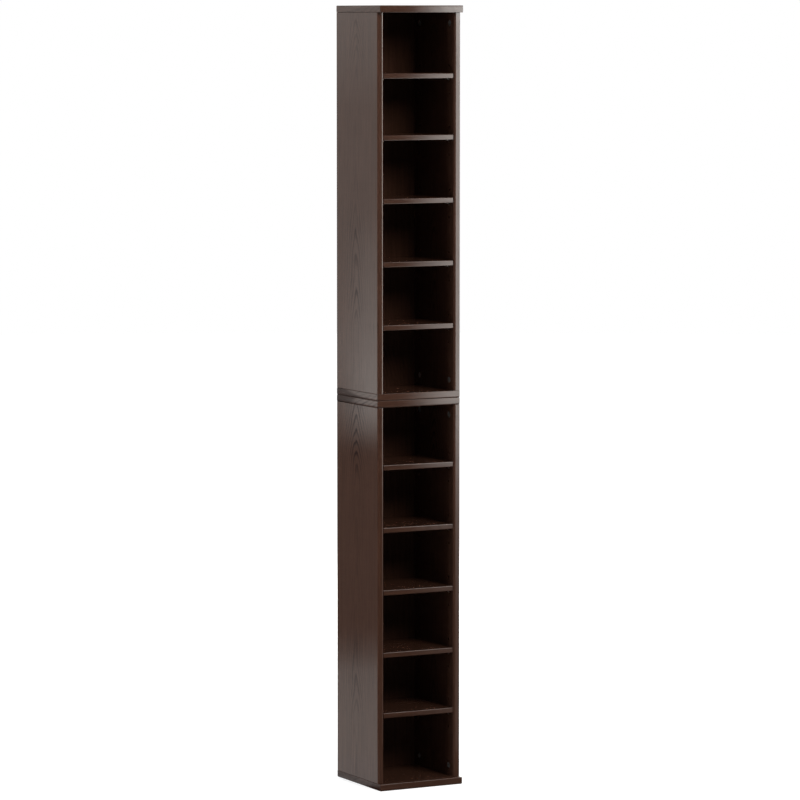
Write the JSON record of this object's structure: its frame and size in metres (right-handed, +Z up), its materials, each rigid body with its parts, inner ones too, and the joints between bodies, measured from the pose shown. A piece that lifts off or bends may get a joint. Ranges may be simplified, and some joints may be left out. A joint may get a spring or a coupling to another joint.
{
  "type": "disc storage tower",
  "caption": "Tall narrow free-standing tower of two stacked open cases in dark wood finish, with loose shelves on steel supports for disc cases.",
  "frame": {"origin": "on the floor, under the middle of the footprint", "axes": "+Z up along the tower, the open front faces -Y, +X to the right seen from the front"},
  "size_m": [0.214, 0.22, 1.8],
  "materials": {
    "side_wood": "dark espresso wood-grain foil, satin, grain upright",
    "board_wood": "dark espresso wood-grain foil, satin, grain across",
    "shelf_wood": "dark espresso wood-grain foil, half gloss, grain across",
    "back_board": "thin fibreboard, dark brown face, matt",
    "support_steel": "nickel plated"
  },
  "bodies": {
    "lower_case": {"lower_base_board": "board_wood", "lower_left_side": "side_wood", "lower_right_side": "side_wood", "lower_top_board": "board_wood", "lower_back_panel": "back_board", "lower_shelf_1_pin_front_left": "support_steel", "lower_shelf_1_pin_front_right": "support_steel", "lower_shelf_1_pin_back_left": "support_steel", "lower_shelf_1_pin_back_right": "support_steel", "lower_shelf_2_pin_front_left": "support_steel", "lower_shelf_2_pin_front_right": "support_steel", "lower_shelf_2_pin_back_left": "support_steel", "lower_shelf_2_pin_back_right": "support_steel", "lower_shelf_3_pin_front_left": "support_steel", "lower_shelf_3_pin_front_right": "support_steel", "lower_shelf_3_pin_back_left": "support_steel", "lower_shelf_3_pin_back_right": "support_steel", "lower_shelf_4_pin_front_left": "support_steel", "lower_shelf_4_pin_front_right": "support_steel", "lower_shelf_4_pin_back_left": "support_steel", "lower_shelf_4_pin_back_right": "support_steel", "lower_shelf_5_pin_front_left": "support_steel", "lower_shelf_5_pin_front_right": "support_steel", "lower_shelf_5_pin_back_left": "support_steel", "lower_shelf_5_pin_back_right": "support_steel"},
    "upper_case": {"upper_bottom_board": "board_wood", "upper_left_side": "side_wood", "upper_right_side": "side_wood", "upper_top_board": "board_wood", "upper_back_panel": "back_board", "upper_shelf_1_pin_front_left": "support_steel", "upper_shelf_1_pin_front_right": "support_steel", "upper_shelf_1_pin_back_left": "support_steel", "upper_shelf_1_pin_back_right": "support_steel", "upper_shelf_2_pin_front_left": "support_steel", "upper_shelf_2_pin_front_right": "support_steel", "upper_shelf_2_pin_back_left": "support_steel", "upper_shelf_2_pin_back_right": "support_steel", "upper_shelf_3_pin_front_left": "support_steel", "upper_shelf_3_pin_front_right": "support_steel", "upper_shelf_3_pin_back_left": "support_steel", "upper_shelf_3_pin_back_right": "support_steel", "upper_shelf_4_pin_front_left": "support_steel", "upper_shelf_4_pin_front_right": "support_steel", "upper_shelf_4_pin_back_left": "support_steel", "upper_shelf_4_pin_back_right": "support_steel", "upper_shelf_5_pin_front_left": "support_steel", "upper_shelf_5_pin_front_right": "support_steel", "upper_shelf_5_pin_back_left": "support_steel", "upper_shelf_5_pin_back_right": "support_steel"},
    "lower_shelf_1": {"lower_shelf_1": "shelf_wood"},
    "lower_shelf_2": {"lower_shelf_2": "shelf_wood"},
    "lower_shelf_3": {"lower_shelf_3": "shelf_wood"},
    "lower_shelf_4": {"lower_shelf_4": "shelf_wood"},
    "lower_shelf_5": {"lower_shelf_5": "shelf_wood"},
    "upper_shelf_1": {"upper_shelf_1": "shelf_wood"},
    "upper_shelf_2": {"upper_shelf_2": "shelf_wood"},
    "upper_shelf_3": {"upper_shelf_3": "shelf_wood"},
    "upper_shelf_4": {"upper_shelf_4": "shelf_wood"},
    "upper_shelf_5": {"upper_shelf_5": "shelf_wood"}
  },
  "joints": [
    {"name": "upper_case_lift", "type": "slide", "parent": "lower_case", "child": "upper_case", "axis": [0, 0, 1], "range_m": [0, 0.05]},
    {"name": "lower_shelf_1_draw", "type": "slide", "parent": "lower_case", "child": "lower_shelf_1", "axis": [0, -1, 0], "range_m": [0, 0.2]},
    {"name": "lower_shelf_2_draw", "type": "slide", "parent": "lower_case", "child": "lower_shelf_2", "axis": [0, -1, 0], "range_m": [0, 0.2]},
    {"name": "lower_shelf_3_draw", "type": "slide", "parent": "lower_case", "child": "lower_shelf_3", "axis": [0, -1, 0], "range_m": [0, 0.2]},
    {"name": "lower_shelf_4_draw", "type": "slide", "parent": "lower_case", "child": "lower_shelf_4", "axis": [0, -1, 0], "range_m": [0, 0.2]},
    {"name": "lower_shelf_5_draw", "type": "slide", "parent": "lower_case", "child": "lower_shelf_5", "axis": [0, -1, 0], "range_m": [0, 0.2]},
    {"name": "upper_shelf_1_draw", "type": "slide", "parent": "upper_case", "child": "upper_shelf_1", "axis": [0, -1, 0], "range_m": [0, 0.2]},
    {"name": "upper_shelf_2_draw", "type": "slide", "parent": "upper_case", "child": "upper_shelf_2", "axis": [0, -1, 0], "range_m": [0, 0.2]},
    {"name": "upper_shelf_3_draw", "type": "slide", "parent": "upper_case", "child": "upper_shelf_3", "axis": [0, -1, 0], "range_m": [0, 0.2]},
    {"name": "upper_shelf_4_draw", "type": "slide", "parent": "upper_case", "child": "upper_shelf_4", "axis": [0, -1, 0], "range_m": [0, 0.2]},
    {"name": "upper_shelf_5_draw", "type": "slide", "parent": "upper_case", "child": "upper_shelf_5", "axis": [0, -1, 0], "range_m": [0, 0.2]}
  ]
}
